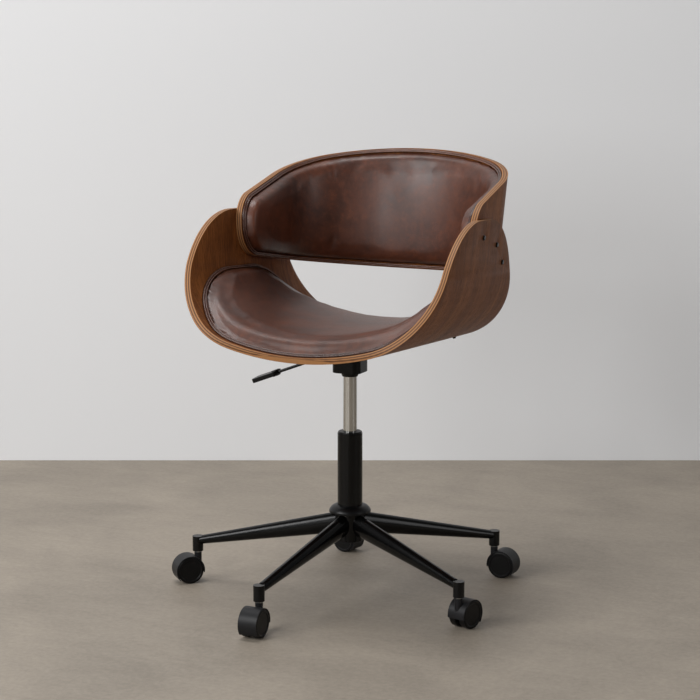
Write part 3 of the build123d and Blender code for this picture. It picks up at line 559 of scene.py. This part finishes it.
def plywood_shell(node, name, measure, plywood, finishes):
    """A plywood shell with rounded edges, its faces veneered and its edges showing their plies."""
    mesh = frame["nodes"][node].data.copy()
    mesh.name = name
    work = welded(mesh)
    bmesh.ops.bevel(
        work,
        geom=hard_edges(work, SAWN_ANGLE),
        offset=plywood.edge_round,
        segments=2,
        profile=0.6,
        affect="EDGES",
        clamp_overlap=True,
    )
    work.to_mesh(mesh)
    work.free()
    mesh.materials.clear()
    for finish in finishes:
        mesh.materials.append(finish.material)
    sheet = measure(corner_points(mesh), plywood)
    attribute = mesh.attributes.new("sheet", "FLOAT_VECTOR", "POINT")
    attribute.data.foreach_set("vector", sheet.astype(np.float32).ravel())
    middles = np.array([p.center for p in mesh.polygons])
    normals = np.array([p.normal for p in mesh.polygons])
    beside = middles + normals * DEPTH_PROBE
    change = measure(beside, plywood)[:, 2] - measure(middles, plywood)[:, 2]
    edges = (np.abs(change) / DEPTH_PROBE < VENEER_SHARE).astype(np.int32)
    mesh.polygons.foreach_set("material_index", edges)
    mesh.shade_smooth()
    mesh.set_sharp_from_angle(angle=math.radians(CREASE_ANGLE))
    settled(linked(mesh, name), "seat", "walnut_plywood", node)


class CHAIR_OT_plywood(bpy.types.Operator):
    """Make the seat and back shells of veneered plywood"""

    bl_idname = "chair.plywood"
    bl_label = "Plywood shells"

    def execute(self, context):
        plywood = context.scene.chair_plywood
        finishes = (veneer_finish(plywood), ply_edge_finish(plywood))
        plywood_shell("seat_shell", "seat_shell_veneered", seat_sheet, plywood, finishes)
        plywood_shell("back_shell", "back_shell_veneered", back_sheet, plywood, finishes)
        return {"FINISHED"}


def evaluated(piece):
    """A new mesh of a piece with its modifiers applied."""
    graph = bpy.context.evaluated_depsgraph_get()
    return bpy.data.meshes.new_from_object(piece.evaluated_get(graph))


def replaced_mesh(piece, mesh):
    """Swaps a piece's mesh and drops its modifiers."""
    old = piece.data
    piece.modifiers.clear()
    piece.data = mesh
    bpy.data.meshes.remove(old)


def calmed(rows, mesh, times):
    """Evens out rows that belong to a mesh's vertices, each with its neighbours."""
    pairs = np.empty(len(mesh.edges) * 2, dtype=np.int64)
    mesh.edges.foreach_get("vertices", pairs)
    one, other = pairs.reshape(-1, 2).T
    count = np.bincount(pairs, minlength=len(rows))[:, None]
    for _ in range(times):
        near = np.zeros_like(rows)
        np.add.at(near, one, rows[other])
        np.add.at(near, other, rows[one])
        rows = (rows + near / count) / 2
    return rows


def stuffed(piece, glued, leather):
    """Lets the cover swell under pressure, held where it is glued."""
    held = piece.vertex_groups.new(name="glued")
    held.add(np.flatnonzero(glued).tolist(), 1.0, "REPLACE")
    start = corner_points(piece.data)
    cloth = piece.modifiers.new("cover", "CLOTH")
    cloth.settings.vertex_group_mass = held.name
    cloth.settings.use_pressure = True
    cloth.settings.uniform_pressure_force = leather.pressure
    cloth.settings.effector_weights.gravity = 0.0
    cloth.settings.mass = 0.4
    cloth.settings.tension_stiffness = 20.0
    cloth.settings.compression_stiffness = 12.0
    cloth.settings.bending_stiffness = 1.5
    cloth.settings.quality = 4
    cloth.collision_settings.use_collision = False
    scene = bpy.context.scene
    for number in range(1, COVER_FRAMES + 1):
        scene.frame_set(number)
    swollen = evaluated(piece)
    move = corner_points(swollen) - start
    calm = calmed(move, swollen, CALM_ROUNDS)
    move = calm + (move - calm) * leather.wrinkle
    far = np.linalg.norm(move, axis=1, keepdims=True)
    move *= np.minimum(1.0, leather.swell / np.maximum(far, 1e-9))
    swollen.vertices.foreach_set("co", (start + move).ravel())
    scene.frame_set(1)
    replaced_mesh(piece, swollen)
    piece.vertex_groups.clear()


def leather_pad(node, name, measure, plywood, leather, finish):
    """A stuffed leather pad, glued to its shell and swollen between its edges."""
    piece = linked(frame["nodes"][node].data.copy(), name)
    even = piece.modifiers.new("even", "REMESH")
    even.mode = "VOXEL"
    even.voxel_size = leather.voxel
    replaced_mesh(piece, evaluated(piece))
    depth = measure(corner_points(piece.data), plywood)[:, 2] - plywood.thickness
    free = piece.vertex_groups.new(name="free")
    above_welt = depth > leather.welt_height + leather.welt_step
    free.add(np.flatnonzero(above_welt).tolist(), 1.0, "REPLACE")
    soft = piece.modifiers.new("soft", "SMOOTH")
    soft.vertex_group = free.name
    soft.factor = 0.5
    soft.iterations = 12
    replaced_mesh(piece, evaluated(piece))
    piece.vertex_groups.clear()
    mesh = piece.data
    places = corner_points(mesh)
    normals = np.array([v.normal for v in mesh.vertices])
    depth = measure(places, plywood)[:, 2] - plywood.thickness
    glued = depth < leather.base_depth
    share = np.clip((depth - leather.base_depth) / leather.draw_depth, 0, 1)
    places -= normals * (leather.draw_in * share)[:, None]
    mesh.vertices.foreach_set("co", places.ravel())
    mesh.update()
    stuffed(piece, glued, leather)
    finer = piece.modifiers.new("finer", "SUBSURF")
    finer.levels = finer.render_levels = 1
    replaced_mesh(piece, evaluated(piece))
    piece.data.materials.clear()
    piece.data.materials.append(finish.material)
    piece.data.shade_smooth()
    settled(piece, "seat", "brown_leather", node)


class CHAIR_OT_pads(bpy.types.Operator):
    """Make the stuffed leather pads of the seat and the back"""

    bl_idname = "chair.pads"
    bl_label = "Leather pads"

    def execute(self, context):
        plywood, leather = context.scene.chair_plywood, context.scene.chair_leather
        finish = leather_finish(leather, "waxed_leather", leather.grain, rough=0.27)
        leather_pad("seat_pad", "seat_pad_leather", seat_sheet, plywood, leather, finish)
        leather_pad("back_pad", "back_pad_leather", back_sheet, plywood, leather, finish)
        return {"FINISHED"}


def closed_loops(edges):
    """Chains edges into closed loops of points."""
    loops, waiting = [], dict.fromkeys(edges)
    while waiting:
        edge = next(iter(waiting))
        del waiting[edge]
        first, here = edge.verts
        loop = [first.co.copy(), here.co.copy()]
        while here != first:
            ahead = [e for e in here.link_edges if e in waiting]
            if not ahead:
                break
            del waiting[ahead[0]]
            here = ahead[0].other_vert(here)
            if here != first:
                loop.append(here.co.copy())
        loops.append(np.array(loop))
    return loops


def evenly(loop, gap):
    """Points spaced evenly round a closed loop."""
    ring = np.vstack([loop, loop[:1]])
    runs = np.concatenate([[0.0], np.cumsum(np.linalg.norm(np.diff(ring, axis=0), axis=1))])
    places = np.linspace(0, runs[-1], int(runs[-1] / gap), endpoint=False)
    return np.stack([np.interp(places, runs, ring[:, i]) for i in range(3)], axis=1)


def eased(rows, times):
    """Evens out rows that belong to a closed loop."""
    for _ in range(times):
        rows = (np.roll(rows, 1, axis=0) + 2 * rows + np.roll(rows, -1, axis=0)) / 4
    return rows


def unit(rows):
    """Rows scaled to a length of one."""
    return rows / np.linalg.norm(rows, axis=1, keepdims=True)


def welt_profile(leather, width):
    """Section of the double welt: share of its width, from outside in, height and a ridge share that
    paints a highlight on the ridge tops and shade at their feet.
    """
    ridge, height = leather.welt_ridge, leather.welt_height
    section = [(0.0, 0.0, 0.0)]
    for centre, top in ((ridge, height), (width - ridge, height + leather.welt_step)):
        foot = (top - ridge) * RIDGE_FOOT
        section.append(((centre - ridge) / width, foot, 0.0))
        for turn in np.linspace(math.pi, 0, RIDGE_POINTS):
            rise = math.sin(turn)
            share = (centre + ridge * math.cos(turn)) / width
            section.append((share, top - ridge + ridge * rise, rise**2))
        section.append(((centre + ridge) / width, foot, 0.0))
    section.append((1.0, 0.0, 0.0))
    return section


def leather_welt(node, name, measure, plywood, leather, finish):
    """The sewn double welt round a pad, run along the outline of its CAD solid."""
    work = welded(frame["nodes"][node].data)
    work.verts.index_update()
    depth = measure(np.array([v.co for v in work.verts]), plywood)[:, 2] - plywood.thickness
    low = depth < WELT_BASE
    hard = hard_edges(work, OUTLINE_ANGLE)
    loops = closed_loops([e for e in hard if all(low[v.index] for v in e.verts)])
    work.free()
    outlines = [evenly(loop, WELT_SPACING) for loop in loops if len(loop) > OUTLINE_POINTS]
    if len(outlines) < 2:
        raise RuntimeError(f"{node}: its base has no outer and inner outline")
    inner, outer = sorted(outlines, key=len)[-2:]
    gaps = np.linalg.norm(outer[:, None] - inner[None], axis=2)
    inward = eased(inner[gaps.argmin(axis=1)] - outer, 6)
    along = unit(np.roll(outer, -1, axis=0) - np.roll(outer, 1, axis=0))
    up = unit(np.cross(along, inward))
    rise = measure(outer + up * WELT_PROBE, plywood)[:, 2] - measure(outer, plywood)[:, 2]
    up = eased(up * np.sign(rise)[:, None], 4)
    width = float(np.median(np.linalg.norm(inward, axis=1)))
    section = welt_profile(leather, width)
    rows = [outer + inward * share + unit(up) * height for share, height, _ in section]
    count = len(outer)
    faces = []
    for row in range(len(rows)):
        here, after = row * count, (row + 1) % len(rows) * count
        for i in range(count):
            j = (i + 1) % count
            faces.append((here + i, here + j, after + j, after + i))
    mesh = bpy.data.meshes.new(name)
    mesh.from_pydata(np.vstack(rows).tolist(), [], faces)
    # Per-point ridge share, which the welt's finish turns into a painted highlight on the ridge tops
    # and painted shade at their feet.
    painted_ridge_light = mesh.attributes.new("painted_ridge_light", "FLOAT", "POINT")
    painted_ridge_light.data.foreach_set("value", np.repeat([painted_ridge_shading for _, _, painted_ridge_shading in section], count))
    work = bmesh.new()
    work.from_mesh(mesh)
    bmesh.ops.recalc_face_normals(work, faces=work.faces)
    work.to_mesh(mesh)
    work.free()
    mesh.materials.append(finish.material)
    mesh.shade_smooth()
    settled(linked(mesh, name), "seat", "leather_welt", node)


class CHAIR_OT_welts(bpy.types.Operator):
    """Make the sewn welts round the leather pads"""

    bl_idname = "chair.welts"
    bl_label = "Leather welts"

    def execute(self, context):
        plywood, leather = context.scene.chair_plywood, context.scene.chair_leather
        # The welts' finish paints a highlight on the ridge tops and shade in the grooves.
        finish = leather_finish(leather, "welt_leather", leather.grain * 1.3, rough=0.16, painted_ridge_shading=True)
        leather_welt("seat_welt", "seat_welt_sewn", seat_sheet, plywood, leather, finish)
        leather_welt("back_welt", "back_welt_sewn", back_sheet, plywood, leather, finish)
        return {"FINISHED"}


class CHAIR_OT_hardware(bpy.types.Operator):
    """Finish the base, lift, mechanism, casters and fasteners"""

    bl_idname = "chair.hardware"
    bl_label = "Metal and plastic"

    def execute(self, context):
        hardware = context.scene.chair_hardware
        edge = hardware.edge_round
        coat = black_finish(
            "powder_coat", hardware.coat, rough=0.16, grain=900.0, depth=0.00004, edge=edge
        )
        plastic = black_finish(
            "black_moulding", hardware.plastic, rough=0.3, grain=2200.0, depth=0.0001, edge=edge
        )
        hood = black_finish(
            "hood_moulding", hardware.hood, rough=0.4, grain=1300.0, depth=0.0002, edge=edge
        )
        wheel = black_finish(
            "wheel_moulding", hardware.wheel, rough=0.32, grain=1500.0, depth=0.0001, edge=edge
        )
        chrome = metal_finish("chrome_plate", hardware.chrome, rough=0.06, edge=edge)
        steel = metal_finish("plain_steel", hardware.steel, rough=0.3, edge=edge)
        brass = metal_finish("turned_brass", hardware.brass, rough=0.3, edge=edge)
        moulded = nodes_of("black_plastic")
        painted(nodes_of("black_metal"), coat)
        painted(moulded, plastic)
        painted([name for name in moulded if name.startswith("caster_hood")], hood)
        painted(nodes_of("wheel_plastic"), wheel)
        painted(nodes_of("chrome"), chrome)
        painted(nodes_of("steel"), steel)
        painted(nodes_of("brass"), brass)
        return {"FINISHED"}


def stage_sheet(name, corners, finish):
    """A flat sheet of the studio."""
    mesh = bpy.data.meshes.new(name)
    mesh.from_pydata(corners, [], [tuple(range(len(corners)))])
    mesh.materials.append(finish.material)
    linked(mesh, name)


def floor_finish(colour):
    """Smooth plastered floor."""
    finish = Finish("studio_floor")
    place = finish.place()
    cloud = finish.noise(place, scale=3.2, detail=6.0, rough=0.62, distortion=0.5)
    sweep = finish.noise(
        finish.scaled(place, 5.0, 22.0, 1.0), detail=6.0, rough=0.7, distortion=0.8
    )
    fleck = finish.noise(place, scale=90.0, detail=5.0, rough=0.75)
    tone = finish.spread(cloud * 0.45 + sweep * 0.15 + fleck * 0.4, 0.38, 0.62)
    return finish.surface(
        {
            "Base Color": finish.mix(tone, toned(colour, 0.76), toned(colour, 1.18)),
            "Roughness": 0.5 + fleck * 0.15,
            "Normal": finish.bump(fleck, strength=0.05, distance=0.002),
        }
    )


def wall_finish(colour):
    """Pale wall that shows from its front only."""
    finish = Finish("studio_wall")
    back = finish.node("ShaderNodeNewGeometry", output="Backfacing")
    paint = finish.node("ShaderNodeBsdfDiffuse", None, {"Color": colour})
    clear = finish.node("ShaderNodeBsdfTransparent")
    shown = finish.node("ShaderNodeMixShader", None, {0: back, 1: paint, 2: clear})
    finish.node("ShaderNodeOutputMaterial", None, {"Surface": shown})
    return finish


def studio_air(colour):
    """Faint even light from all round, which shows as a plain grey surround."""
    finish = Finish("studio_air", bpy.data.worlds.new("studio_air"))
    seen = finish.node("ShaderNodeLightPath", output="Is Camera Ray")
    mirrored = finish.node("ShaderNodeLightPath", output="Is Glossy Ray")
    through = finish.node("ShaderNodeLightPath", output="Is Transmission Ray")
    white = {"Color": (1, 1, 1, 1), "Strength": AIR_STRENGTH}
    light = finish.node("ShaderNodeBackground", None, white)
    surround = finish.node("ShaderNodeBackground", None, {"Color": colour})
    shown = seen + mirrored + through
    mixed = finish.node("ShaderNodeMixShader", None, {0: shown, 1: light, 2: surround})
    finish.node("ShaderNodeOutputWorld", None, {"Surface": mixed})
    return finish.material


def lamp(name, place, size, power):
    """A soft lamp, given its width and height, that shines at the chair."""
    light = bpy.data.lights.new(name, "AREA")
    light.shape = "RECTANGLE"
    light.size, light.size_y = size
    light.energy = power
    made = bpy.data.objects.new(name, light)
    made.location = place
    made.rotation_euler = (Vector(LAMP_TARGET) - place).to_track_quat("-Z", "Y").to_euler()
    bpy.context.scene.collection.objects.link(made)


class CHAIR_OT_studio(bpy.types.Operator):
    """Set up the floor, wall, lamps and camera"""

    bl_idname = "chair.studio"
    bl_label = "Studio"

    def execute(self, context):
        scene, studio = context.scene, context.scene.chair_studio
        turn = studio.camera_turn
        right = Vector((math.cos(turn), math.sin(turn), 0))
        away = Vector((-math.sin(turn), math.cos(turn), 0))
        up = Vector((0, 0, 1))
        wall = away * studio.wall_distance
        left, far_right = wall - right * STAGE_REACH, wall + right * STAGE_REACH
        depth, height = away * 2 * STAGE_REACH, up * WALL_HEIGHT
        floor = [left, left - depth, far_right - depth, far_right]
        stage_sheet("studio_floor", floor, floor_finish(tuple(studio.floor)))
        sheet = [left, far_right, far_right + height, left + height]
        stage_sheet("studio_wall", sheet, wall_finish(tuple(studio.wall)))
        for name, (place, size, power) in LAMPS.items():
            aside, behind, above = place
            lamp(name, right * aside + away * behind + up * above, size, power)
        scene.world = studio_air(tuple(studio.surround))
        scene.view_settings.view_transform = "Standard"
        lens = bpy.data.cameras.new("camera")
        lens.sensor_width = 36.0
        lens.lens = studio.focal
        lens.clip_end = 50.0
        camera = bpy.data.objects.new("camera", lens)
        camera.location = up * studio.camera_height - away * studio.camera_distance
        camera.rotation_euler = (math.pi / 2 - studio.camera_pitch, 0, turn)
        scene.collection.objects.link(camera)
        scene.camera = camera
        return {"FINISHED"}


OPERATORS = (CHAIR_OT_plywood, CHAIR_OT_pads, CHAIR_OT_welts, CHAIR_OT_hardware, CHAIR_OT_studio)
GROUPS = {
    "chair_plywood": PlywoodSettings,
    "chair_leather": LeatherSettings,
    "chair_hardware": HardwareSettings,
    "chair_studio": StudioSettings,
}


class CHAIR_PT_panel(bpy.types.Panel):
    """Lists the chair's pieces and their sizes and colours"""

    bl_idname = "CHAIR_PT_panel"
    bl_label = "Desk chair"
    bl_space_type = "VIEW_3D"
    bl_region_type = "UI"
    bl_category = "Chair"

    def draw(self, context):
        for operator in OPERATORS:
            self.layout.operator(operator.bl_idname)
        for group in GROUPS:
            settings = getattr(context.scene, group)
            box = self.layout.box()
            for name in settings.__annotations__:
                box.prop(settings, name)


def register():
    """Adds the settings, operators and panel."""
    for group in GROUPS.values():
        bpy.utils.register_class(group)
    for name, group in GROUPS.items():
        setattr(bpy.types.Scene, name, bpy.props.PointerProperty(type=group))
    for operator in (*OPERATORS, CHAIR_PT_panel):
        bpy.utils.register_class(operator)


def unregister():
    """Takes them away again."""
    for operator in reversed((*OPERATORS, CHAIR_PT_panel)):
        bpy.utils.unregister_class(operator)
    for name, group in GROUPS.items():
        delattr(bpy.types.Scene, name)
        bpy.utils.unregister_class(group)


def main():
    """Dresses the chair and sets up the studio."""
    register()
    bpy.ops.chair.plywood()
    bpy.ops.chair.pads()
    bpy.ops.chair.welts()
    bpy.ops.chair.hardware()
    bpy.ops.chair.studio()


if __name__ == "__main__":
    main()
